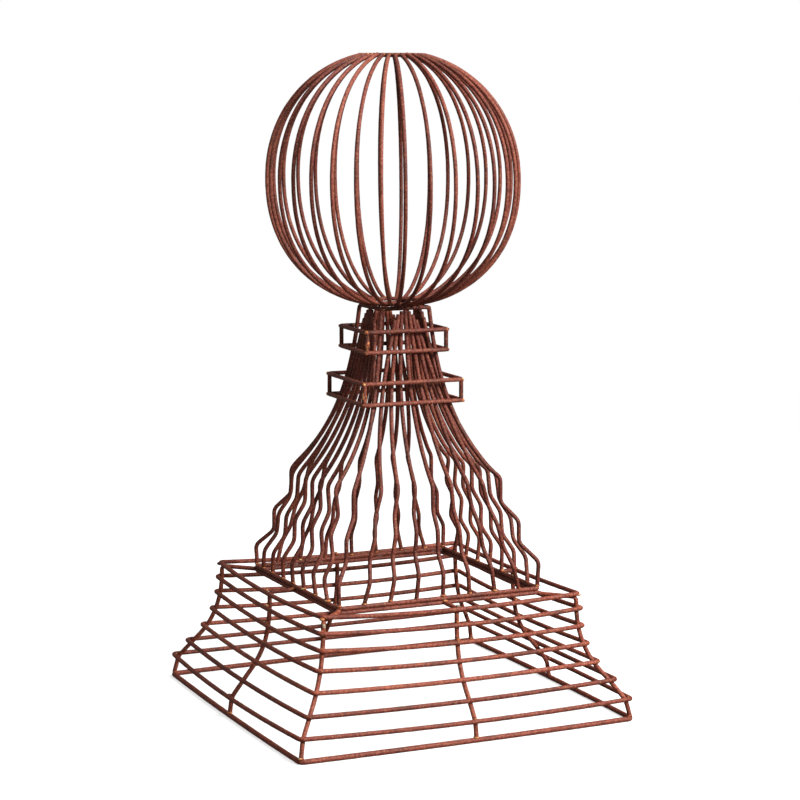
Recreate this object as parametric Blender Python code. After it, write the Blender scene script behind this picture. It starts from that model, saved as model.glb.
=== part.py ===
"""A welded wire finial: a flared plinth, a fluted spire with two collars, and a ribbed ball."""
import math

import bmesh
import bpy
from mathutils import Vector

MM = 0.001

# Wire stock
BASE_WIRE = 5.9 * MM            # thickness of the bottom hoop's wire
PLINTH_WIRE = 5.2 * MM          # thickness of the other hoops and of the posts
WIRE = 4.9 * MM                 # thickness of the spire's and the collars' wire
RIB_WIRE = 4.6 * MM             # thickness of the ball's ribs and rings
GAP = 0.3 * MM                  # clearance between wires that rest on each other
WELD_BITE = 0.8 * MM            # how far welded wires of one piece run into each other

# Plinth: each hoop's half-width, how far its sides bow out and how far they sag, from the floor up
PLINTH_HOOPS = (
    (201.0 * MM, 3.0 * MM, 0.0 * MM),
    (201.0 * MM, 6.0 * MM, 2.0 * MM),
    (188.2 * MM, 4.0 * MM, 2.3 * MM),
    (174.0 * MM, 2.0 * MM, 3.0 * MM),
    (165.5 * MM, 0.5 * MM, 3.5 * MM),
    (161.0 * MM, 0.5 * MM, 3.5 * MM),
    (159.5 * MM, 0.5 * MM, 3.0 * MM),
    (156.5 * MM, 3.0 * MM, 2.3 * MM),
)
BASE_STEP = 23.5 * MM           # height from the bottom hoop to the second
HOOP_PITCH = 19.9 * MM          # height from one hoop to the next
HOOP_CORNER = 5.0 * MM          # bend radius of the hoops' corners
POST_BEND = 5.0 * MM            # bend radius where a post turns into its arm
ARM_HEIGHT = 138.9 * MM         # height of the arms and of the spire's lower foot hoop
POST_SLIP = {"front": 4.5 * MM, "right": 0.0, "back": 5.0 * MM, "left": 0.0}   # off the middle

# Spire: half-widths and heights of its steps
FOOT_HALF = 123.0 * MM          # half-width of the two foot hoops and of the lowest step
STEP_TWO_HALF = 106.2 * MM
STEP_THREE_HALF = 90.6 * MM
FOOT_STEP_TOP = 171.5 * MM      # where the lowest step starts to lean in
STEP_TWO_BOTTOM = 191.5 * MM
STEP_TWO_TOP = 216.5 * MM
STEP_THREE_BOTTOM = 236.5 * MM
STEP_THREE_TOP = 265.0 * MM
STEP_BEND = 3.5 * MM            # half-length of the chord that cuts each bend
NECK_TOP = 458.3 * MM           # height of the square that the ball stands on
NECK_HALF = 29.7 * MM           # its half-width
NECK_BEND = 4.0 * MM            # bend radius of the corner wires at the neck top
SWEEP_REACH = 83.0 * MM         # how slowly the sweep straightens on its way up
SWEEP_CHORDS = 5
WIRES_PER_FACE = 7
FOOT_CORNER = 4.0 * MM          # bend radius of the foot hoops' corners
FACE_OUTSETS = (0.0, 5.0 * MM, 9.0 * MM)   # how far the face wires stand outside the corner wires, by step
FACE_MERGE = 105.0 * MM         # height above the third step at which they come in line with them
FOOT_SLIPS = {                  # how far each wire's foot has slipped to the right along its face
    "front": (0.0, 0.6 * MM, 1.4 * MM, 3.1 * MM, 5.0 * MM, 5.7 * MM, 5.0 * MM),
    "right": (-4.0 * MM, -2.5 * MM, -1.0 * MM, -1.5 * MM, 0.0, 0.0, 0.0),
    "back": (-5.0 * MM, -4.8 * MM, -2.0 * MM, -0.3 * MM, 3.5 * MM, 5.2 * MM, 3.3 * MM),
    "left": (-6.6 * MM, -7.8 * MM, -6.0 * MM, -7.8 * MM, -6.0 * MM, -2.7 * MM, 0.0),
}

# Collars: height of the lower hoop, height of the collar, and how far the lower hoop's middle stands
# off the spire's corner wires at the sides and at the front and back
COLLARS = {
    "upper_collar": (411.5 * MM, 23.0 * MM, 13.7 * MM, 5.8 * MM),
    "lower_collar": (354.6 * MM, 23.7 * MM, 13.0 * MM, 7.5 * MM),
}
COLLAR_CORNER = 3.0 * MM        # bend radius of the collars' corners

# Ball
BALL_RADIUS = 142.0 * MM        # to the middle of the ribs
BALL_STRETCH = 1.0085           # how much taller the ball is than it is wide
RING_RADIUS = 33.5 * MM         # to the middle of the rings' wire
RIBS = 32
RIB_TURN = math.radians(4.2)    # how far the first rib is turned from the right
RIB_CHORDS = 9
RING_CHORDS = 16

# Sections: a few-sided tube stands in for the round wire
TUBE_SWELL = 1.05               # how far a four-sided tube's corners stand out of the round wire
HEX_FLAT = math.cos(math.radians(30))
FACES = ("front", "right", "back", "left")
CORNERS = ("front_right", "back_right", "back_left", "front_left")

wire_radius = WIRE / 2
tube_radius = wire_radius * TUBE_SWELL
plinth_tube = PLINTH_WIRE / 2 * TUBE_SWELL
rib_radius = RIB_WIRE / 2
rib_tube = rib_radius * TUBE_SWELL
contact = 2 * tube_radius + GAP             # between the middles of two wires that rest on each other
plinth_contact = 2 * plinth_tube + GAP


def clear_scene():
    for old in list(bpy.data.objects):
        bpy.data.objects.remove(old)


def new_collection(name):
    collection = bpy.data.collections.new(name)
    bpy.context.scene.collection.children.link(collection)
    return collection


def rusty_iron(name, colour, roughness):
    material = bpy.data.materials.new(name)
    material.use_nodes = True
    shader = material.node_tree.nodes["Principled BSDF"]
    shader.inputs["Base Color"].default_value = (*colour, 1)
    shader.inputs["Metallic"].default_value = 0.25
    shader.inputs["Roughness"].default_value = roughness
    return material


def turned(point, angle):
    """The point turned about the upright axis."""
    x, y, z = point
    return Vector((x * math.cos(angle) - y * math.sin(angle), x * math.sin(angle) + y * math.cos(angle), z))


def face_turn(face):
    """The turn that brings the front face to this one."""
    return math.radians(90 * FACES.index(face))


def tube(name, points, radius, collection, material, sides=4, closed=False):
    """A bent wire: straight between its points, few-sided, and capped if it is open."""
    curve = bpy.data.curves.new(name, "CURVE")
    curve.dimensions = "3D"
    spline = curve.splines.new("POLY")
    spline.points.add(len(points) - 1)
    for knot, point in zip(spline.points, points):
        knot.co = (*point, 1)
    spline.use_cyclic_u = closed
    curve.bevel_depth = radius
    curve.bevel_resolution = (sides - 4) // 2
    curve.use_fill_caps = not closed
    curve.materials.append(material)
    wire = bpy.data.objects.new(name, curve)
    collection.objects.link(wire)
    return wire


def as_mesh(source, collection):
    """A mesh object of what the source looks like, in its place. The source is removed."""
    graph = bpy.context.evaluated_depsgraph_get()
    mesh = bpy.data.meshes.new_from_object(source.evaluated_get(graph))
    shell = bmesh.new()
    shell.from_mesh(mesh)
    bmesh.ops.remove_doubles(shell, verts=shell.verts, dist=WIRE / 1000)
    shell.to_mesh(mesh)
    shell.free()
    solid = bpy.data.objects.new("solid of " + source.name, mesh)
    solid.matrix_world = source.matrix_world.copy()
    bpy.data.objects.remove(source)
    collection.objects.link(solid)
    return solid


def welded(name, wires, collection):
    """One solid from several wires that run into each other."""
    solids = [as_mesh(wire, collection) for wire in wires]
    body = solids[0]
    for other in solids[1:]:
        join = body.modifiers.new("weld", "BOOLEAN")
        join.operation = "UNION"
        join.solver = "EXACT"
        join.object = other
    result = as_mesh(body, collection)
    result.name = name
    for other in solids[1:]:
        bpy.data.objects.remove(other)
    return result


def cut_corner(half, radius):
    """Distance along x (and along y) of the middle of a corner bent to this radius."""
    return half - radius * (1 - math.sqrt(0.5))


def square_loop(across, deep, height, radius, bow=0.0, sag=0.0):
    """A rectangle of wire with cut corners. Its sides may bow outwards and sag."""
    cut = 2 * radius * (1 - math.sqrt(0.5))
    points = []
    for face in FACES:
        out, along = (deep, across) if face in ("front", "back") else (across, deep)
        side = [(-along + cut, -out, height), (along - cut, -out, height)]
        if bow or sag:
            side.insert(1, (0.0, -out - bow, height - sag))
        points += [turned(point, face_turn(face)) for point in side]
    return points


def hoop_height(level):
    return BASE_WIRE / 2 + (BASE_STEP + HOOP_PITCH * (level - 1) if level else 0.0)


def hoop_passes(corner):
    """Where the hoops below the topmost pass a post, as (distance out, height)."""
    passes = []
    for level, (half, bow, sag) in enumerate(PLINTH_HOOPS[:-1]):
        if corner:
            passes.append(Vector((cut_corner(half, HOOP_CORNER) * math.sqrt(2), hoop_height(level))))
        else:
            passes.append(Vector((half + bow, hoop_height(level) - sag)))
    return passes


def post_profile(corner):
    """A post's points as (distance out, height): up inside the hoops, over a bend and inwards."""
    passes = hoop_passes(corner)
    foot = Vector((passes[0].x, BASE_WIRE + 2 * GAP))
    top = ARM_HEIGHT - POST_BEND
    above = passes[1:] + [Vector((passes[-1].x, top))]
    below = [Vector((passes[0].x, foot.y))] + passes[1:]
    profile = [foot]
    for hoop, lower, upper in zip(passes[1:], below, above[1:]):
        rise, run = (hoop - lower).normalized(), (upper - hoop).normalized()
        along = (rise + run).normalized()
        inward = Vector((-along.y, along.x))
        profile.append(hoop + inward * plinth_contact / along.dot(run))
    out = profile[-1].x
    for step in range(3):
        turn = math.radians(45 * step)
        profile.append(Vector((out - POST_BEND + POST_BEND * math.cos(turn), top + POST_BEND * math.sin(turn))))
    spire = cut_corner(FOOT_HALF, FOOT_CORNER) * math.sqrt(2) if corner else FOOT_HALF
    profile.append(Vector((spire + tube_radius + GAP, ARM_HEIGHT)))
    return profile


def shoulder_height(half):
    """Height at which a hoop of this half-width lies on the bends of the corner posts."""
    bend_out = post_profile(True)[-2].x
    hoop_out = cut_corner(half, HOOP_CORNER) * math.sqrt(2)
    reach = POST_BEND + plinth_contact
    return ARM_HEIGHT - POST_BEND + math.sqrt(reach ** 2 - (hoop_out - bend_out) ** 2)


def make_plinth(part, rust, base_rust):
    topmost = len(PLINTH_HOOPS) - 1
    for level, (half, bow, sag) in enumerate(PLINTH_HOOPS):
        height = shoulder_height(half) if level == topmost else hoop_height(level)
        points = square_loop(half, half, height, HOOP_CORNER, bow, sag)
        name = "plinth_hoop_%d" % (level + 1)
        if level == 0:
            tube(name, points, BASE_WIRE / 2 / HEX_FLAT, part, base_rust, sides=6, closed=True)
        else:
            tube(name, points, plinth_tube, part, rust, closed=True)
    for index, corner in enumerate(CORNERS):
        turn = math.radians(45 + 90 * index)
        points = [turned((0, -out, height), turn) for out, height in post_profile(True)]
        tube("plinth_post_" + corner, points, plinth_tube, part, rust)
    for face in FACES:
        points = [turned((POST_SLIP[face], -out, height), face_turn(face)) for out, height in post_profile(False)]
        tube("plinth_post_" + face, points, plinth_tube, part, rust)


def sweep_half(height):
    """Half-width of the spire above its steps: it falls quickly at first, then ever more slowly."""
    def fall(z):
        return math.exp((STEP_THREE_TOP - z) / SWEEP_REACH)
    share = (fall(height) - fall(NECK_TOP)) / (1 - fall(NECK_TOP))
    return NECK_HALF + (STEP_THREE_HALF - NECK_HALF) * share


def spire_profile(foot, top, outsets=(0.0, 0.0, 0.0)):
    """A spire wire's profile as (half-width, height). Outsets widen its three steps and fade above them."""
    first, second, third = outsets
    knees = [Vector(knee) for knee in (
        (FOOT_HALF + first, FOOT_STEP_TOP),
        (STEP_TWO_HALF + second, STEP_TWO_BOTTOM), (STEP_TWO_HALF + second, STEP_TWO_TOP),
        (STEP_THREE_HALF + third, STEP_THREE_BOTTOM), (STEP_THREE_HALF + third, STEP_THREE_TOP))]
    chord = (NECK_TOP - STEP_THREE_TOP) / SWEEP_CHORDS
    heights = [STEP_THREE_TOP + chord * step for step in range(1, SWEEP_CHORDS)]
    widths = [sweep_half(z) + third * max(0.0, 1 - (z - STEP_THREE_TOP) / FACE_MERGE) for z in heights]
    sweep = [Vector(row) for row in zip(widths, heights)] + [Vector((sweep_half(top), top))]
    profile = [Vector((FOOT_HALF, foot))]
    for before, knee, after in zip([profile[0]] + knees, knees, knees[1:] + sweep):
        profile.append(knee + (before - knee).normalized() * STEP_BEND)
        profile.append(knee + (after - knee).normalized() * STEP_BEND)
    return profile + sweep


def foot_hoop_heights():
    return ARM_HEIGHT, ARM_HEIGHT + contact


def spire_foot():
    """Height where the spire's wires start: above the upper foot hoop, clear of it where they lean."""
    lean = FOOT_HALF / (NECK_TOP - ARM_HEIGHT)
    return foot_hoop_heights()[1] + tube_radius * (1 + lean) + GAP


def face_wire(index, slip):
    """The points of one wire of the front face, numbered outwards from the middle."""
    foot = spire_foot()
    foot_x = index * 2 * FOOT_HALF / (WIRES_PER_FACE + 1) + slip
    top_x = index * (2 * tube_radius - WELD_BITE)
    reach = NECK_TOP - WELD_BITE - tube_radius - GAP - foot
    # all are cut to one length, so the ones that lean further end lower
    top = foot + math.sqrt(reach ** 2 - (foot_x - top_x) ** 2)
    points = []
    for half, height in spire_profile(foot, top, FACE_OUTSETS):
        climb = (height - foot) / (top - foot)
        points.append(Vector((foot_x + (top_x - foot_x) * climb, -half, height)))
    return points


def make_spire(part, rust):
    for label, height in zip(("lower", "upper"), foot_hoop_heights()):
        points = square_loop(FOOT_HALF, FOOT_HALF, height, FOOT_CORNER)
        tube("spire_foot_hoop_" + label, points, tube_radius, part, rust, closed=True)
    middle = WIRES_PER_FACE // 2
    for face in FACES:
        wires = []
        for index, slip in zip(range(-middle, middle + 1), FOOT_SLIPS[face]):
            points = [turned(point, face_turn(face)) for point in face_wire(index, slip)]
            wires.append(tube("%s wire %d" % (face, index), points, tube_radius, part, rust))
        welded("spire_wires_" + face, wires, part)


def corner_wire(top):
    """The profile of a corner wire, whose foot stands on the bent corner of the foot hoop."""
    profile = spire_profile(spire_foot(), top)
    profile[0].x = cut_corner(FOOT_HALF, FOOT_CORNER)
    return profile


def corner_half(height):
    """Half-width of the corner wires at a height, along the chords that they are bent in."""
    profile = corner_wire(NECK_TOP - NECK_BEND)
    for low, high in zip(profile, profile[1:]):
        if low.y <= height <= high.y:
            return low.x + (high.x - low.x) * (height - low.y) / (high.y - low.y)
    return profile[-1].x


def arch(turn):
    """An inverted U: up one corner of the spire, across the neck top and down the next corner."""
    rise = corner_wire(NECK_TOP - NECK_BEND)
    over = NECK_HALF - NECK_BEND
    points = [Vector((-half, -half, height)) for half, height in rise]
    points += [Vector((-over, -NECK_HALF, NECK_TOP)), Vector((over, -NECK_HALF, NECK_TOP))]
    points += [Vector((half, -half, height)) for half, height in reversed(rise)]
    return [turned(point, turn) for point in points]


def make_neck_frame(part, rust):
    wires = [tube("front arch", arch(0.0), tube_radius, part, rust),
             tube("back arch", arch(math.pi), tube_radius, part, rust)]
    reach = NECK_HALF - WELD_BITE
    for sign in (-1, 1):
        x = sign * (NECK_HALF - NECK_BEND / 2)
        ends = [Vector((x, -reach, NECK_TOP - WELD_BITE)), Vector((x, reach, NECK_TOP - WELD_BITE))]
        wires.append(tube("side bar", ends, tube_radius, part, rust))
    welded("neck_frame", wires, part)


def make_collar(name, bottom, height, side_gap, front_gap, part, rust):
    across = corner_half(bottom) + side_gap
    deep = corner_half(bottom) + front_gap
    wires = [tube("collar hoop", square_loop(across, deep, z, COLLAR_CORNER), tube_radius, part, rust, closed=True)
             for z in (bottom, bottom + height)]
    spire = corner_half(bottom - wire_radius)
    for x_side, y_side in ((-1, -1), (1, -1), (1, 1), (-1, 1)):
        x = x_side * cut_corner(across, COLLAR_CORNER)
        y = y_side * cut_corner(deep, COLLAR_CORNER)
        ends = [Vector((x, y, bottom - WELD_BITE)), Vector((x, y, bottom + height + WELD_BITE))]
        wires.append(tube("collar post", ends, tube_radius, part, rust))
        near = spire + tube_radius + GAP
        tack = [Vector((x_side * spire, y_side * near, bottom)), Vector((x_side * spire, y_side * deep, bottom))]
        wires.append(tube("weld tack", tack, wire_radius, part, rust))
    welded(name, wires, part)


def make_ball(part, rust):
    lean = RING_RADIUS / BALL_RADIUS
    rib_end = RING_RADIUS + rib_radius / HEX_FLAT + GAP + rib_tube * lean
    rise = BALL_STRETCH * math.sqrt(BALL_RADIUS ** 2 - rib_end ** 2)
    bottom = NECK_TOP + tube_radius + GAP + rib_radius
    for label, height in (("bottom", bottom), ("top", bottom + 2 * rise)):
        turns = [2 * math.pi * step / RING_CHORDS for step in range(RING_CHORDS)]
        points = [Vector((RING_RADIUS * math.cos(turn), RING_RADIUS * math.sin(turn), height)) for turn in turns]
        tube("ball_ring_" + label, points, rib_radius / HEX_FLAT, part, rust, sides=6, closed=True)
    start = math.asin(rib_end / BALL_RADIUS)
    for number in range(RIBS):
        turn = RIB_TURN + 2 * math.pi * number / RIBS
        points = []
        for step in range(RIB_CHORDS + 1):
            dip = start + (math.pi - 2 * start) * step / RIB_CHORDS
            height = bottom + rise + BALL_STRETCH * BALL_RADIUS * math.cos(dip)
            points.append(turned((BALL_RADIUS * math.sin(dip), 0, height), turn))
        tube("ball_rib_%02d" % (number + 1), points, rib_tube, part, rust)


def main():
    clear_scene()
    part = new_collection("finial")
    rust = rusty_iron("rusted iron wire", (0.22, 0.07, 0.045), 0.8)
    base_rust = rusty_iron("rusted iron base wire", (0.2, 0.06, 0.04), 0.82)
    ball_rust = rusty_iron("rusted iron rib wire", (0.26, 0.085, 0.05), 0.78)
    make_plinth(part, rust, base_rust)
    make_spire(part, rust)
    make_neck_frame(part, rust)
    for name, sizes in COLLARS.items():
        make_collar(name, *sizes, part, rust)
    make_ball(part, ball_rust)


main()
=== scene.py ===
import math
import random

import bmesh
import bpy
import numpy as np
from mathutils import Matrix, Vector, noise


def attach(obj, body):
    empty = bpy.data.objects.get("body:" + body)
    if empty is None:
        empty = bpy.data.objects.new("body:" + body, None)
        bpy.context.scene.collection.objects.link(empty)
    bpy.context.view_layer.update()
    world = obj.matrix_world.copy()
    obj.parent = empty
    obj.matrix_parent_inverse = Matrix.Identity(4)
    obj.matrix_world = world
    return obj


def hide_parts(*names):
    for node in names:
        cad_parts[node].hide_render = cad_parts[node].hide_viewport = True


# A rusted wire finial: flared plinth, fluted spire with two collars, ribbed ball.
# Lengths in the dictionaries are in millimetres; the camera, lamps and floor are in metres.
mm = 0.001
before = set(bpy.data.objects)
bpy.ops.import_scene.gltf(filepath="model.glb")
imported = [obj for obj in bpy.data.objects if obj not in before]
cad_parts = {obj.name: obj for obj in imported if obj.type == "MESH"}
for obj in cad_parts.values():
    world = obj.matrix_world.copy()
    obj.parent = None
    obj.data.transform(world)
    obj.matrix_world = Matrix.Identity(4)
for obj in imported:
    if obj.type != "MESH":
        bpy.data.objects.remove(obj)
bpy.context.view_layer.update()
print("frame loaded,", len(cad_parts), "nodes")

# the photo was taken from the front left, from about the height of the ball's top, looking a little down
view = {"place": (-1.0998, -2.3930, 0.7234), "yaw": 24.83, "pitch": -8.07, "lens": 104.71, "sensor": 36}
cameraData = bpy.data.cameras.new("camera")
cameraData.lens = view["lens"]
cameraData.sensor_width = view["sensor"]
camera = bpy.data.objects.new("camera", cameraData)
camera.location = view["place"]
camera.rotation_euler = (math.radians(90 + view["pitch"]), 0, -math.radians(view["yaw"]))
bpy.context.scene.collection.objects.link(camera)
bpy.context.scene.camera = camera


def hexToLinear(hexColour):
    values = [int(hexColour[i:i + 2], 16) / 255 for i in (1, 3, 5)]
    return [v / 12.92 if v <= 0.04045 else ((v + 0.055) / 1.055) ** 2.4 for v in values] + [1.0]


def addNode(tree, kind, settings=None, links=None):
    node = tree.nodes.new(kind)
    for key, value in (settings or {}).items():
        if isinstance(key, str) and hasattr(node, key):
            setattr(node, key, value)
        else:
            node.inputs[key].default_value = value
    for key, source in (links or {}).items():
        tree.links.new(source, node.inputs[key])
    return node


def setRamp(node, stops):
    stops = list(stops)
    elements = node.color_ramp.elements
    while len(elements) > len(stops):
        elements.remove(elements[-1])
    while len(elements) < len(stops):
        elements.new(1.0)
    for element, (place, colour) in zip(elements, stops):
        element.position = place
        element.color = hexToLinear(colour)


# Mild steel wire, drawn smooth and left to rust red: matt oxide with a faint sheen.
rustLook = {
    "dark": "#40150b", "mid": "#773424", "light": "#a35a42", "bloom": "#b26441",
    "stops": (0.26, 0.50, 0.72, 0.90),      # where those four stand in the mottle
    "mottle": 2.2,              # size of the rust's light and dark spots, mm
    "toneShift": 0.16,          # how far a wire's own tone shifts it darker or lighter
    "scale": "#2b1610", "patch": 26.0, "patchEdge": (0.52, 0.68), "patchCover": 0.45,       # duller patches
    "speckColour": "#9a7548", "speck": 1.7, "speckEdge": (0.62, 0.72), "speckCover": 0.55,  # dry specks
    "grain": 1.3,               # grit; the real grit is finer, drawn as coarse as the render can show
    "crust": 0.6, "crustDepth": 0.25,
    "roughness": (0.48, 0.78), "roughGrain": (0.3, 0.7), "sheen": 0.3,
}


def laidOver(tree, under, colour, mask, edge, cover):
    # the colour laid over another where the mask passes its edge
    reach = addNode(tree, "ShaderNodeMapRange", {"From Min": edge[0], "From Max": edge[1], "To Max": cover},
                    {"Value": mask})
    return addNode(tree, "ShaderNodeMix", {"data_type": "RGBA", 7: hexToLinear(colour)},
                   {0: reach.outputs[0], 6: under}).outputs[2]


def newMaterial(name):
    material = bpy.data.materials.new(name)
    material.use_nodes = True
    tree = material.node_tree
    place = addNode(tree, "ShaderNodeTexCoord").outputs["Object"]
    return material, tree, tree.nodes["Principled BSDF"], place


def rustedSteelWire(name, look):
    material, tree, shader, place = newMaterial(name)
    mottle = addNode(tree, "ShaderNodeTexNoise",
                     {"Scale": 1 / (look["mottle"] * mm), "Detail": 3.0, "Roughness": 0.65},
                     {"Vector": place})
    patch = addNode(tree, "ShaderNodeTexNoise", {"Scale": 1 / (look["patch"] * mm), "Detail": 2.0},
                    {"Vector": place})
    grain = addNode(tree, "ShaderNodeTexNoise", {"Scale": 1 / (look["grain"] * mm), "Detail": 2.0},
                    {"Vector": place})
    speck = addNode(tree, "ShaderNodeTexNoise", {"Scale": 1 / (look["speck"] * mm), "Detail": 1.0},
                    {"Vector": place})
    tone = addNode(tree, "ShaderNodeAttribute", {"attribute_name": "wireTone"})
    shifted = addNode(tree, "ShaderNodeMath", {"operation": "MULTIPLY_ADD", 1: look["toneShift"]},
                      {0: tone.outputs["Fac"], 2: mottle.outputs["Fac"]})
    oxide = addNode(tree, "ShaderNodeValToRGB", None, {"Fac": shifted.outputs[0]})
    setRamp(oxide, zip(look["stops"], (look["dark"], look["mid"], look["light"], look["bloom"])))
    aged = laidOver(tree, oxide.outputs["Color"], look["scale"], patch.outputs["Fac"],
                    look["patchEdge"], look["patchCover"])
    specked = laidOver(tree, aged, look["speckColour"], speck.outputs["Fac"],
                       look["speckEdge"], look["speckCover"])
    tree.links.new(specked, shader.inputs["Base Color"])
    (low, high), (smooth, rough) = look["roughGrain"], look["roughness"]
    dullness = addNode(tree, "ShaderNodeMapRange",
                       {"From Min": low, "From Max": high, "To Min": smooth, "To Max": rough},
                       {"Value": grain.outputs["Fac"]})
    tree.links.new(dullness.outputs[0], shader.inputs["Roughness"])
    crust = addNode(tree, "ShaderNodeBump", {"Strength": look["crust"], "Distance": look["crustDepth"] * mm},
                    {"Height": grain.outputs["Fac"]})
    tree.links.new(crust.outputs["Normal"], shader.inputs["Normal"])
    shader.inputs["Metallic"].default_value = 0.0
    shader.inputs["Specular IOR Level"].default_value = look["sheen"]
    return material


# Weld metal: small lumps that rust orange where they are fresh and keep pale slag in their hollows.
weldLook = {
    "dark": "#4e2217", "rust": "#8f4527", "orange": "#bd7536", "slag": "#c2b48e",
    "stops": (0.36, 0.48, 0.58, 0.68), "spot": 4.5,
    "pit": 0.9, "pitting": 0.7, "pitDepth": 0.25, "roughness": 0.6,
}


def weldBeadSteel(name, look):
    material, tree, shader, place = newMaterial(name)
    spots = addNode(tree, "ShaderNodeTexNoise", {"Scale": 1 / (look["spot"] * mm), "Detail": 2.5},
                    {"Vector": place})
    colour = addNode(tree, "ShaderNodeValToRGB", None, {"Fac": spots.outputs["Fac"]})
    setRamp(colour, zip(look["stops"], (look["dark"], look["rust"], look["orange"], look["slag"])))
    tree.links.new(colour.outputs["Color"], shader.inputs["Base Color"])
    pits = addNode(tree, "ShaderNodeTexNoise", {"Scale": 1 / (look["pit"] * mm), "Detail": 2.0},
                   {"Vector": place})
    skin = addNode(tree, "ShaderNodeBump", {"Strength": look["pitting"], "Distance": look["pitDepth"] * mm},
                   {"Height": pits.outputs["Fac"]})
    tree.links.new(skin.outputs["Normal"], shader.inputs["Normal"])
    shader.inputs["Metallic"].default_value = 0.0
    shader.inputs["Roughness"].default_value = look["roughness"]
    return material


baseLook = dict(rustLook, mid="#7a3626", light="#a65d45")
spireShadedLook = dict(rustLook, dark="#32100a", mid="#652a1e", light="#8b4a37")     # painted shade: drawn darker than the plinth's wire, standing in for the light falling off higher up
# painted shade: the ball's rust is drawn darker than the plinth's, standing in for the light falling off
# higher up
ballShadedLook = dict(rustLook, mid="#6d3024", light="#93513e")
# a pale crust where slag was left on
paleLook = dict(weldLook, dark="#6d4a35", rust="#94826a", orange="#b3ab90", slag="#cfcbb8")
plinthRust = rustedSteelWire("rusted drawn steel wire", rustLook)
baseRust = rustedSteelWire("rusted drawn steel base rod", baseLook)
# the spire's and the ball's materials are darker copies of the plinth's rust: painted shade
spireShadedRust = rustedSteelWire("rusted drawn steel spire wire with painted shade", spireShadedLook)
ballShadedRust = rustedSteelWire("rusted drawn steel rib wire with painted shade", ballShadedLook)
weldMetal = weldBeadSteel("rusted weld metal", weldLook)
paleSlag = weldBeadSteel("pale weld slag", paleLook)
print("materials made")


wireLook = {
    "base": 5.9, "plinth": 5.2, "spire": 4.9, "ball": 4.6,      # thickness of the wires
    "step": 2.6,        # distance between rings of points
    "sides": 12,
    "lump": 0.045, "lumpSize": 9.0,     # slow swelling, as a share of the radius, and its length
    "crust": 0.030, "crustSize": 1.8,   # rust crust
    "bendSteps": 6, "sideSteps": 12, "cornerSteps": 6,  # how finely bends, hoops' sides and corners are drawn
    # the flat of a cut end, and how far its rim and its middle stand out
    "endEdge": 0.78, "endReach": (0.16, 0.19),
}
dice = random.Random(41)


def turned(points, angle):
    c, s = math.cos(angle), math.sin(angle)
    points = np.array(points, float)
    out = points.copy()
    out[:, 0] = points[:, 0] * c - points[:, 1] * s
    out[:, 1] = points[:, 0] * s + points[:, 1] * c
    return out


def bent(points, cuts):
    # a line of straight runs with each bend rounded, starting the given distance before its corner
    points = [np.array(p, float) for p in points]
    line = []
    for i, (point, cut) in enumerate(zip(points, cuts)):
        if i in (0, len(points) - 1) or cut <= 0:
            line.append(point)
            continue
        before, after = points[i - 1] - point, points[i + 1] - point
        # a bend takes up less than half of either run
        reach = min(cut, 0.49 * np.linalg.norm(before), 0.49 * np.linalg.norm(after))
        start = point + before / np.linalg.norm(before) * reach
        end = point + after / np.linalg.norm(after) * reach
        for k in range(wireLook["bendSteps"] + 1):
            t = k / wireLook["bendSteps"]
            line.append(start * (1 - t) ** 2 + point * 2 * t * (1 - t) + end * t ** 2)
    return np.array(line)


def evenly(line, step, closed):
    # the same path with its points an even distance apart
    if closed:
        line = np.vstack([line, line[:1]])
    lengths = np.r_[0, np.cumsum(np.linalg.norm(np.diff(line, axis=0), axis=1))]
    count = max(3, int(round(lengths[-1] / step)))
    at = np.linspace(0, lengths[-1], count + 1)
    if closed:
        at = at[:-1]
    return np.column_stack([np.interp(at, lengths, line[:, k]) for k in range(3)])


def rings(path, radius, closed):
    # rings of points square to the path, swollen and pitted as a rusted wire is
    look = wireLook
    count, sides = len(path), look["sides"]
    ahead = np.roll(path, -1, axis=0) - path
    behind = path - np.roll(path, 1, axis=0)
    if not closed:
        ahead[-1], behind[0] = behind[-1], ahead[0]
    along = ahead / np.linalg.norm(ahead, axis=1)[:, None] + behind / np.linalg.norm(behind, axis=1)[:, None]
    along /= np.linalg.norm(along, axis=1)[:, None]
    side = np.cross(along[0], (0.31, 0.17, 0.93))
    sidesAt = []
    for i in range(count):
        side = side - along[i] * side.dot(along[i])
        side = side / np.linalg.norm(side)
        sidesAt.append(side)
    sidesAt = np.array(sidesAt)
    upsAt = np.cross(along, sidesAt)
    turnBack = 0.0
    if closed:
        # the frame comes back turned, so the turn is shared out along the loop
        last = sidesAt[-1] - along[0] * sidesAt[-1].dot(along[0])
        turnBack = math.atan2(last.dot(upsAt[0]), last.dot(sidesAt[0]))
    verts = []
    for i in range(count):
        for k in range(sides):
            angle = 2 * math.pi * k / sides - turnBack * i / count
            out = sidesAt[i] * math.cos(angle) + upsAt[i] * math.sin(angle)
            spot = Vector(path[i] + out * radius)
            swell = 1 + look["lump"] * noise.noise(spot / (look["lumpSize"] * mm))
            swell += look["crust"] * noise.noise(spot / (look["crustSize"] * mm))
            verts.append(path[i] + out * radius * swell)
    return verts


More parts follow.
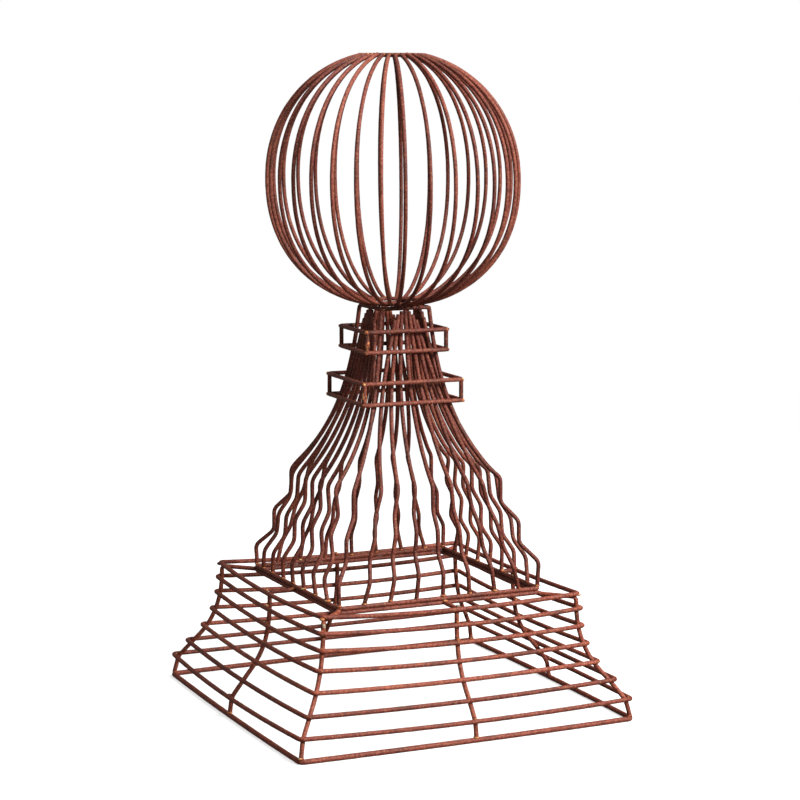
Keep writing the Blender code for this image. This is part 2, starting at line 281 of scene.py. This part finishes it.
def wireMesh(runs):
    # one mesh from several wires: (path, radius, closed)
    sides = wireLook["sides"]
    verts, faces, tones = [], [], []
    for line, radius, closed in runs:
        path = evenly(line, wireLook["step"] * mm, closed)
        first, count = len(verts), len(path)
        verts += rings(path, radius, closed)
        for i in range(count if closed else count - 1):
            a, b = first + i * sides, first + (i + 1) % count * sides
            faces += [(a + k, a + (k + 1) % sides, b + (k + 1) % sides, b + k) for k in range(sides)]
        if not closed:
            # cut ends: a narrow worn edge, then a nearly flat face
            rimReach, middleReach = (share * radius for share in wireLook["endReach"])
            for ring, toward, flip in ((0, path[0] - path[1], True), (count - 1, path[-1] - path[-2], False)):
                outward = toward / np.linalg.norm(toward)
                centre = path[ring]
                edge, rim = len(verts), first + ring * sides
                for k in range(sides):
                    flat = (verts[rim + k] - centre) * wireLook["endEdge"]
                    verts.append(centre + flat + outward * rimReach)
                verts.append(centre + outward * middleReach)
                for k in range(sides):
                    n = (k + 1) % sides
                    quad, tip = (rim + k, rim + n, edge + n, edge + k), (edge + k, edge + n, edge + sides)
                    faces += [quad[::-1], tip[::-1]] if flip else [quad, tip]
        tones += [dice.uniform(-0.5, 0.5)] * (len(verts) - first)
    mesh = bpy.data.meshes.new("wire")
    mesh.from_pydata([tuple(v) for v in verts], [], faces)
    mesh.attributes.new("wireTone", "FLOAT", "POINT").data.foreach_set("value", tones)
    mesh.shade_smooth()
    return mesh


def addPiece(name, mesh, material, slot, *nodes):
    mesh.name = name
    mesh.materials.append(material)
    piece = bpy.data.objects.new(name, mesh)
    bpy.context.scene.collection.objects.link(piece)
    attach(piece, "root")
    if nodes:
        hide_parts(*nodes)
    return piece


beads = {"plinth": [], "spire": [], "collars": [], "ball": [], "pale": []}
beadLook = {"lump": 0.28, "lumpsPerMm": 0.9, "spread": 1.3}     # how lumpy the weld beads are


def addBead(where, centre, size):
    beads[where].append((Vector(centre), Vector(size) * mm))


def beadMesh(items):
    # lumps of weld metal
    mesh = bpy.data.meshes.new("beads")
    shape = bmesh.new()
    for centre, size in items:
        placing = Matrix.Translation(centre) @ Matrix.Rotation(math.pi, 4, "Z")
        lump = bmesh.ops.create_icosphere(shape, subdivisions=2, radius=1.0)["verts"]
        for vert in lump:
            spot = centre / mm + vert.co * beadLook["spread"]
            grow = 1 + beadLook["lump"] * noise.noise(spot * beadLook["lumpsPerMm"])
            vert.co = placing @ Vector(vert.co[k] * size[k] * grow for k in range(3))
    shape.to_mesh(mesh)
    shape.free()
    mesh.shade_smooth()
    return mesh


plinthRadius = wireLook["plinth"] / 2 * mm
spireRadius = wireLook["spire"] / 2 * mm
ribRadius = wireLook["ball"] / 2 * mm
faceNames = ("front", "right", "back", "left")
cornerNames = ("front_right", "back_right", "back_left", "front_left")

# Plinth: square hoops outside bent posts, and the two hoops that the spire stands on.
plinth = {
    # half-width, height, bow and sag of each hoop
    "hoops": [(201.0, 2.95, 3.0, 0.0), (201.0, 26.5, 6.0, 2.0), (188.2, 46.4, 4.0, 2.3),
              (174.0, 66.3, 2.0, 3.0), (165.5, 86.7, 0.5, 4.5), (161.0, 107.0, 0.5, 5.2),
              (159.5, 126.0, 0.5, 5.0), (156.5, 142.8, 3.0, 4.2)],
    "corner": 5.0, "armHeight": 138.9, "postBend": 5.0,
    "firstBend": 5.0, "otherBends": 20.0,       # where the posts' bends at the hoops start
    "slip": {"front": 4.5, "right": 0.0, "back": 5.0, "left": 0.0},     # of the middle posts, off the middle
    "touch": 5.3,               # from a hoop's middle line to a post's
    "armGap": 2.5,              # from the end of a post's arm to the foot hoop's middle line
    "footHoop": 123.0, "footCorner": 4.0,
    # how much higher the hoops stand at the left than in the middle, by height
    "tilt": ((0, 26.5, 46.4, 66.3, 86.2, 106.1, 126.0, 142.0), (0.0, 0.8, 0.2, 1.2, 1.8, 2.2, 1.4, 1.8)),
    "tiltReach": 160.0,         # how far left of the middle that is
    # half-sizes of the weld beads, and how far they stand off the joint
    "hoopBead": (2.4, 2.4, 1.7), "hoopBeadVary": (0.8, 1.25), "hoopBeadOut": 0.6, "hoopBeadUp": 2.5,
    "armBead": (3.0, 2.7, 2.2), "armBeadUp": 1.2, "footBead": (3.2, 3.2, 1.9), "footBeadUp": 0.3,
    # pale slag: a streak on the near corner's post and a blob on the front post's bend
    "streak": (2.8, 2.8, 5.5), "streakUp": 0.55, "blob": (2.6, 2.8, 2.2), "blobOff": (0, -2.6, 2.6),
}


def settled(points):
    # the plinth as it stands, a little higher at the left
    points = np.array(points, float)
    tilt = np.interp(points[:, 2], *plinth["tilt"])
    points[:, 2] -= tilt * points[:, 0] / plinth["tiltReach"]
    return points


def squareLoop(across, deep, height, corner, bow=0.0, sag=0.0):
    # a hoop with round corners, whose sides may bow outwards and sag
    line = []
    steps, turns = wireLook["sideSteps"], wireLook["cornerSteps"]
    for i in range(4):
        out, half = (deep, across) if i % 2 == 0 else (across, deep)
        straight = half - corner
        side = []
        for k in range(steps + 1):
            t = 2 * k / steps - 1
            side.append((t * straight, -out - bow * (1 - t * t), height - sag * (1 - t * t)))
        for k in range(1, turns):
            angle = math.radians(90 * k / turns)
            side.append((straight + corner * math.sin(angle), -out + corner * (1 - math.cos(angle)), height))
        line.append(turned(side, math.radians(90 * i)))
    return np.vstack(line)


def cutCorner(half, corner):
    # distance from the axis to the middle of a round corner
    return (half - corner * (1 - math.sqrt(0.5))) * math.sqrt(2)


def postLine(corner):
    # a post's points: up inside the hoops, over the bend and in to the spire; and where its bends start
    hoops = plinth["hoops"]
    passes = []
    for half, height, bow, sag in hoops[:-1]:
        passes.append(np.array((cutCorner(half, plinth["corner"]), height)) if corner
                      else np.array((half + bow, height - sag)))
    foot = np.array((passes[0][0], wireLook["base"]))
    topRun = np.array((passes[-1][0], plinth["armHeight"] - plinth["postBend"]))
    line, cuts = [foot], [0.0]
    for i in range(1, len(passes)):
        below = passes[i - 1] if i > 1 else np.array((passes[0][0], foot[1]))
        above = passes[i + 1] if i + 1 < len(passes) else topRun
        rise = (passes[i] - below) / np.linalg.norm(passes[i] - below)
        run = (above - passes[i]) / np.linalg.norm(above - passes[i])
        mean = (rise + run) / np.linalg.norm(rise + run)
        inward = np.array((-mean[1], mean[0]))
        line.append(passes[i] + inward * plinth["touch"] / mean.dot(run))
        cuts.append(plinth["firstBend"] if i == 1 else plinth["otherBends"])
    line.append(np.array((line[-1][0], plinth["armHeight"])))
    cuts.append(plinth["postBend"])
    spire = cutCorner(plinth["footHoop"], plinth["footCorner"]) if corner else plinth["footHoop"]
    line.append(np.array((spire + plinth["armGap"], plinth["armHeight"])))
    cuts.append(0.0)
    return [(0.0, -x, z) for x, z in line], cuts


for level, (half, height, bow, sag) in enumerate(plinth["hoops"]):
    thick, metal, slot = wireLook["plinth"], plinthRust, "wire"
    if level == 0:
        thick, metal, slot = wireLook["base"], baseRust, "base_wire"
    loop = settled(squareLoop(half, half, height, plinth["corner"], bow, sag)) * mm
    addPiece("plinthHoop%d" % (level + 1), wireMesh([(loop, thick / 2 * mm, True)]), metal, slot,
             "plinth_hoop_%d" % (level + 1))


def weldPost(name, line):
    # a bead on top of each hoop where the post passes, one at the arm's inner end and one at the foot
    for joint in line[1:-1]:
        inward = Vector((-joint[0], -joint[1], 0)).normalized()
        spot = Vector(joint) - inward * plinth["touch"] * plinth["hoopBeadOut"]
        spot.z += plinth["hoopBeadUp"]
        addBead("plinth", spot * mm, Vector(plinth["hoopBead"]) * dice.uniform(*plinth["hoopBeadVary"]))
    lastHoop, bend = line[-3], line[-2]
    if name == "front_left":
        addBead("pale", (lastHoop + (bend - lastHoop) * plinth["streakUp"]) * mm, plinth["streak"])
    if name == "front":
        addBead("pale", (bend + plinth["blobOff"]) * mm, plinth["blob"])
    addBead("plinth", (line[-1] + (0, 0, plinth["armBeadUp"])) * mm, plinth["armBead"])
    addBead("plinth", (line[0] + (0, 0, plinth["footBeadUp"])) * mm, plinth["footBead"])


for kind, names in (("corner", cornerNames), ("side", faceNames)):
    for i, name in enumerate(names):
        line, cuts = postLine(kind == "corner")
        slip = 0.0 if kind == "corner" else plinth["slip"][name]
        angle = math.radians(90 * i + (45 if kind == "corner" else 0))
        line = settled(turned([(slip, y, z) for x, y, z in line], angle))
        path = bent(line * mm, [cut * mm for cut in cuts])
        ending = "".join(word.capitalize() for word in name.split("_"))
        addPiece("plinthPost" + ending, wireMesh([(path, plinthRadius, False)]), plinthRust, "wire",
                 "plinth_post_" + name)
        weldPost(name, line)
print("plinth built")

# Spire: seven wires in each face, and corner wires bent over into the square at the neck.
spire = {
    "wires": 7,                     # in each face
    "hoops": (138.9, 143.8),        # heights of the two foot hoops
    "knees": ((123.0, 171.5), (106.2, 191.5), (106.2, 216.5), (90.6, 236.5), (90.6, 265.0)),
    "kneeCut": 5.5,                 # how far from its corner each bend starts
    "sweepPoints": 22, "sweepCut": 5.0,
    "neck": (29.7, 458.3),          # half-width and height of the square at the top
    "reach": 83.0,                  # how slowly the sweep straightens on its way up
    "neckDrop": 12.0,               # how far below the neck's top the corner wires' bends may start
    "neckBend": {(0, -1): 6.0, (0, 1): 1.5, (2, -1): 4.0, (2, 1): 4.0},     # sharp at the front right
    "footUp": 2.5, "endDown": 2.6,  # from the upper foot hoop to the wires' feet, and their ends to the neck
    "fan": 4.3,                     # pitch of the wires at the neck
    # how far the face wires stand outside the corner wires, by height
    "outset": ((146.0, 171.5, 191.5, 216.5, 236.5, 265.0, 370.0), (0.0, 1.5, 5.0, 5.0, 9.0, 9.0, 0.0)),
    # how far each wire's foot has slipped to the right along its face
    "slips": {"front": (0, 0.6, 1.4, 3.1, 5.0, 5.7, 5.0), "right": (-4, -2.5, -1, -1.5, 0, 0, 0),
              "back": (-5, -4.8, -2, -0.3, 3.5, 5.2, 3.3), "left": (-6.6, -7.8, -6, -7.8, -6, -2.7, 0)},
    "uneven": 1.2, "cornerUneven": 0.48,    # how much the bends' heights differ from wire to wire
    "wobble": 0.8,                  # how far the wires sway off their straight way along the face
    "lean": 2.0, "leanReach": 120.0,    # how much higher the bends are that far to the right of the picture
    "towardsRight": (0.9, -0.42),   # the right of the picture, seen from above
    "barIn": 1.8, "barDown": 0.4,   # where the side bars lie on the corners of the neck
    # half-sizes of the weld beads
    "wireBead": (3.1, 3.1, 1.7), "beadVary": (0.85, 1.15), "cornerBead": (3.2, 3.2, 1.8), "beadUp": 0.4,
    "barBead": (2.8, 2.8, 2.6),
}


def sweepHalf(height):
    # half-width of the spire above its steps
    half, top = spire["neck"]
    startHalf, start = spire["knees"][-1]

    def fall(z):
        return math.exp((start - z) / spire["reach"])

    return half + (startHalf - half) * (fall(height) - fall(top)) / (1 - fall(top))


def profile(foot, top, shift):
    # a wire's points as (half-width, height), with how far before each one its bend starts
    knees = [(half, height + shift) for half, height in spire["knees"]]
    start = knees[-1][1]
    rows = [(spire["knees"][0][0], foot)] + knees
    cuts = [0.0] + [spire["kneeCut"]] * len(knees)
    for i in range(1, spire["sweepPoints"] + 1):
        z = start + (top - start) * i / spire["sweepPoints"]
        rows.append((sweepHalf(z), z))
        cuts.append(spire["sweepCut"])
    cuts[-1] = 0.0
    return rows, cuts


for label, height in zip(("lower", "upper"), spire["hoops"]):
    loop = squareLoop(plinth["footHoop"], plinth["footHoop"], height, plinth["footCorner"])
    addPiece("spireFootHoop" + label.capitalize(), wireMesh([(loop * mm, spireRadius, True)]), spireShadedRust,
             "wire", "spire_foot_hoop_" + label)

foot = spire["hoops"][1] + spire["footUp"]
topReach = spire["neck"][1] - spire["endDown"] - foot
middleWire = spire["wires"] // 2
beadUp = np.array((0, 0, spire["beadUp"] * mm))


def leanAt(place):
    # the bends stand a little higher towards the right of the picture
    x, y = spire["towardsRight"]
    return spire["lean"] * (place[0] * x + place[1] * y) / spire["leanReach"]


for i, face in enumerate(faceNames):
    runs = []
    for k, slip in zip(range(-middleWire, middleWire + 1), spire["slips"][face]):
        footX, topX = k * plinth["footHoop"] / (middleWire + 1) + slip, k * spire["fan"]
        # all are cut to one length, so the ones that lean further end lower
        top = foot + math.sqrt(topReach ** 2 - (footX - topX) ** 2)
        place = turned([(footX, -spire["leanReach"], 0.0)], math.radians(90 * i))[0]
        shift = leanAt(place) + dice.uniform(-1, 1) * spire["uneven"]
        rows, cuts = profile(foot, top, shift)
        wobble = dice.uniform(-spire["wobble"], spire["wobble"])
        line = []
        for half, z in rows:
            half += float(np.interp(z, *spire["outset"]))
            climb = (z - foot) / (top - foot)
            line.append((footX + (topX - footX) * climb + wobble * math.sin(math.pi * climb), -half, z))
        line = turned(line, math.radians(90 * i)) * mm
        runs.append((bent(line, [cut * mm for cut in cuts]), spireRadius, False))
        addBead("spire", line[0] + beadUp, Vector(spire["wireBead"]) * dice.uniform(*spire["beadVary"]))
    addPiece("spireWires" + face.capitalize(), wireMesh(runs), spireShadedRust, "wire", "spire_wires_" + face)

# neck: two inverted U wires and the two bars that join them
half, top = spire["neck"]
frameRuns = []
for i in (0, 2):
    line, cuts = [], []
    for side in (-1, 1):
        place = turned([(side * spire["leanReach"], -spire["leanReach"], 0.0)], math.radians(90 * i))[0]
        shift = leanAt(place) + dice.uniform(-1, 1) * spire["cornerUneven"]
        rows, rowCuts = profile(foot, top - spire["neckDrop"], shift)
        rows[0] = (cutCorner(plinth["footHoop"], plinth["footCorner"]) / math.sqrt(2), rows[0][1])
        leg = [(side * w, -w, z) for w, z in rows] + [(side * half, -half, top)]
        legCuts = rowCuts[:-1] + [spire["sweepCut"], spire["neckBend"][(i, side)]]
        line += leg if side < 0 else leg[::-1]
        cuts += legCuts if side < 0 else legCuts[::-1]
    line = turned(line, math.radians(90 * i)) * mm
    frameRuns.append((bent(line, [cut * mm for cut in cuts]), spireRadius, False))
    for end in (line[0], line[-1]):
        addBead("spire", end + beadUp, spire["cornerBead"])
for side in (-1, 1):
    x, z = side * (half - spire["barIn"]), top - spire["barDown"]
    bar = np.array([(x, -half, z), (x, half, z)]) * mm
    frameRuns.append((bar, spireRadius, False))
    for end in bar:
        addBead("spire", end, spire["barBead"])
addPiece("neckFrame", wireMesh(frameRuns), spireShadedRust, "wire", "neck_frame")
print("spire built")

# Collars: two square hoops and four corner posts each, tacked to the corner wires.
collars = {
    # half-sizes, how far each is turned, and how far it has slipped to the right
    "upper": {"bottom": 410.5, "height": 23.0, "across": 48.9, "deep": 40.6, "turn": -2.3, "slip": -0.8},
    "lower": {"bottom": 353.6, "height": 23.7, "across": 59.9, "deep": 54.0, "turn": -1.6, "slip": 0.8},
    "corner": 3.0, "postReach": 0.8,        # how far the posts pass the hoops' middle lines
    "bead": (2.3, 2.3, 2.1), "beadVary": (0.85, 1.15), "beadOut": 1.2,
    "run": (2.75, 2.75, 7.5), "runDown": 2.0,   # weld metal run down the near post
    "tack": (2.2, 2.0, 2.1), "tackGap": 2.0,    # the tack's half-length is at least the second of these
}


def placed(collar, points):
    return (turned(points, math.radians(collar["turn"])) + (collar["slip"], 0.0, 0.0)) * mm


for name in ("upper", "lower"):
    collar = collars[name]
    bottom, height = collar["bottom"], collar["height"]
    runs = []
    for z in (bottom, bottom + height):
        loop = squareLoop(collar["across"], collar["deep"], z, collars["corner"])
        runs.append((placed(collar, loop), spireRadius, True))
    inside = collars["corner"] * (1 - math.sqrt(0.5))
    low, high = bottom - collars["postReach"], bottom + height + collars["postReach"]
    for x, y in ((-1, -1), (1, -1), (1, 1), (-1, 1)):
        px, py = x * (collar["across"] - inside), y * (collar["deep"] - inside)
        post = placed(collar, [(px, py, low), (px, py, high)])
        runs.append((post, spireRadius, False))
        for z in (bottom, bottom + height):
            spot = placed(collar, [(px + x * collars["beadOut"], py + y * collars["beadOut"], z)])[0]
            addBead("collars", spot, Vector(collars["bead"]) * dice.uniform(*collars["beadVary"]))
        if (x, y) == (-1, -1):
            addBead("collars", post.mean(axis=0) - (0, 0, collars["runDown"] * mm), collars["run"])
        # a tack from the corner wire to the lower hoop
        wall = sweepHalf(bottom)
        near, far = y * (wall + collars["tackGap"]), y * collar["deep"]
        middle = np.array((x * wall, (near + far) / 2, bottom)) * mm
        wide, long, tall = collars["tack"]
        addBead("collars", middle, (wide, max(long, abs(far - near) / 2), tall))
    addPiece(name + "Collar", wireMesh(runs), spireShadedRust, "wire", name + "_collar")
print("collars built")

# Ball: ribs welded into a ring at each end.
ball = {
    "radius": 142.0, "stretch": 1.0085, "ring": 33.5, "ribs": 32, "turn": 4.2,
    "rest": 463.1,          # height of the lower ring
    "ringPoints": 72, "ribSteps": 60,
    "ribGap": 2.6,          # from the rings' middle line to the ribs' ends
    "full": (1.04, 1.09),   # above 1 the ribs are fuller between the middle and the top, and the bottom
    "uneven": 0.25,         # how far the ribs stand off their even places, degrees
    "slips": {5: -1.7, 6: 1.1, 23: -0.9, 24: -1.2, 25: -0.5},   # and those that stand further off
    "lean": (-2.3, 1.0),    # how far the top ring stands off the axis
    "bead": (2.5, 2.5, 2.2), "beadVary": (0.85, 1.2), "beadIn": 0.8,
}
ribEnd = ball["ring"] + ball["ribGap"]
rise = ball["stretch"] * math.sqrt(ball["radius"] ** 2 - ribEnd ** 2)
middle = ball["rest"] + rise


def leaned(points):
    # the ball leans a little from its foot up
    points = np.array(points, float)
    climb = (points[:, 2] / mm - ball["rest"]) / (2 * rise)
    points[:, 0] += climb * ball["lean"][0] * mm
    points[:, 1] += climb * ball["lean"][1] * mm
    return points


for label, height in (("bottom", ball["rest"]), ("top", ball["rest"] + 2 * rise)):
    loop = [(ball["ring"] * math.cos(a), ball["ring"] * math.sin(a), height)
            for a in np.linspace(0, 2 * math.pi, ball["ringPoints"], endpoint=False)]
    path = leaned(np.array(loop) * mm)
    addPiece("ballRing" + label.capitalize(), wireMesh([(path, ribRadius, True)]), ballShadedRust, "rib_wire",
             "ball_ring_" + label)


def ribPoint(share):
    # along a rib from its top end to its bottom end: distance from the axis, and height
    upper = share < 0.5
    full = ball["full"][0 if upper else 1]
    start = math.asin((ribEnd / ball["radius"]) ** full)
    dip = start + (math.pi / 2 - start) * (1 - abs(1 - 2 * share))
    out = ball["radius"] * math.sin(dip) ** (1 / full)
    up = rise * abs(math.cos(dip) / math.cos(start)) ** (1 / full)
    return out, middle + (up if upper else -up)


for number in range(ball["ribs"]):
    angle = math.radians(ball["turn"]) + 2 * math.pi * number / ball["ribs"]
    angle += math.radians(dice.uniform(-1, 1) * ball["uneven"] + ball["slips"].get(number + 1, 0.0))
    line = []
    for k in range(ball["ribSteps"] + 1):
        out, height = ribPoint(k / ball["ribSteps"])
        line.append((out, 0.0, height))
    path = leaned(turned(line, angle) * mm)
    addPiece("ballRib%02d" % (number + 1), wireMesh([(path, ribRadius, False)]), ballShadedRust, "rib_wire",
             "ball_rib_%02d" % (number + 1))
    for end in (path[0], path[-1]):
        inward = Vector((-end[0], -end[1], 0)).normalized()
        addBead("ball", Vector(end) + inward * ball["beadIn"] * mm,
                Vector(ball["bead"]) * dice.uniform(*ball["beadVary"]))
print("ball built")

for where in beads:
    metal = paleSlag if where == "pale" else weldMetal
    addPiece(where + "Welds", beadMesh(beads[where]), metal, "rib_wire" if where == "ball" else "wire")
print("welds built")

# Floor and light: white paper that fades into a white backdrop, a key lamp and a soft one above.
studio = {
    "floor": "#ffffff", "floorBounce": "#54483f", "floorSize": 2.3, "floorSides": 96,
    "fadeFrom": 0.7, "cover": 0.55, "lift": 0.35,       # the paper's fade, how much of it shows, its own glow
    "sky": "#ffffff", "skyLight": 0.31,
    "aim": (0, 0, 0.35),
    "key": {"place": (1.3, -2.5, 1.9), "size": 1.0, "power": 190},
    "top": {"place": (0.3, -0.2, 3.2), "size": 2.0, "power": 48},
}
floorShape = bmesh.new()
bmesh.ops.create_circle(floorShape, cap_ends=True, segments=studio["floorSides"],
                        radius=studio["floorSize"])
floorMesh = bpy.data.meshes.new("floor")
floorShape.to_mesh(floorMesh)
floorShape.free()
floor = bpy.data.objects.new("floor", floorMesh)
bpy.context.scene.collection.objects.link(floor)
floorPaint = bpy.data.materials.new("white paper sweep")
floorPaint.use_nodes = True
tree = floorPaint.node_tree
tree.nodes.remove(tree.nodes["Principled BSDF"])
pale = addNode(tree, "ShaderNodeBsdfDiffuse", {"Color": hexToLinear(studio["floor"])})
glow = addNode(tree, "ShaderNodeEmission",
               {"Color": hexToLinear(studio["floor"]), "Strength": studio["lift"]})
paper = addNode(tree, "ShaderNodeAddShader", None, {0: pale.outputs[0], 1: glow.outputs[0]})
# the paper throws less light back than it shows
dim = addNode(tree, "ShaderNodeBsdfDiffuse", {"Color": hexToLinear(studio["floorBounce"])})
seen = addNode(tree, "ShaderNodeLightPath").outputs["Is Camera Ray"]
mixed = addNode(tree, "ShaderNodeMixShader", None, {0: seen, 1: dim.outputs[0], 2: paper.outputs[0]})
# and fades into the white behind it
place = addNode(tree, "ShaderNodeTexCoord").outputs["Object"]
distance = addNode(tree, "ShaderNodeVectorMath", {"operation": "LENGTH"}, {0: place})
cover = addNode(tree, "ShaderNodeMapRange",
                {"interpolation_type": "SMOOTHSTEP", "From Min": studio["fadeFrom"],
                 "From Max": studio["floorSize"], "To Min": studio["cover"], "To Max": 0.0},
                {"Value": distance.outputs["Value"]})
clear = addNode(tree, "ShaderNodeBsdfTransparent")
faded = addNode(tree, "ShaderNodeMixShader", None,
                {0: cover.outputs[0], 1: clear.outputs[0], 2: mixed.outputs[0]})
tree.links.new(faded.outputs[0], tree.nodes["Material Output"].inputs["Surface"])
floorMesh.materials.append(floorPaint)

world = bpy.data.worlds.new("studio")
world.use_nodes = True
bpy.context.scene.world = world
tree = world.node_tree
seen = addNode(tree, "ShaderNodeLightPath").outputs["Is Camera Ray"]
# the backdrop shows white but lights less
bright = addNode(tree, "ShaderNodeMapRange", {"To Min": studio["skyLight"], "To Max": 1.0}, {"Value": seen})
backdrop = tree.nodes["Background"]
backdrop.inputs["Color"].default_value = hexToLinear(studio["sky"])
tree.links.new(bright.outputs[0], backdrop.inputs["Strength"])

for name in ("key", "top"):
    lamp = studio[name]
    data = bpy.data.lights.new(name + " light", "AREA")
    data.size = lamp["size"]
    data.energy = lamp["power"]
    light = bpy.data.objects.new(name + " light", data)
    light.location = lamp["place"]
    aim = Vector(studio["aim"]) - Vector(lamp["place"])
    light.rotation_euler = aim.to_track_quat("-Z", "Y").to_euler()
    bpy.context.scene.collection.objects.link(light)
bpy.context.scene.view_settings.view_transform = "Standard"
print("studio lit")
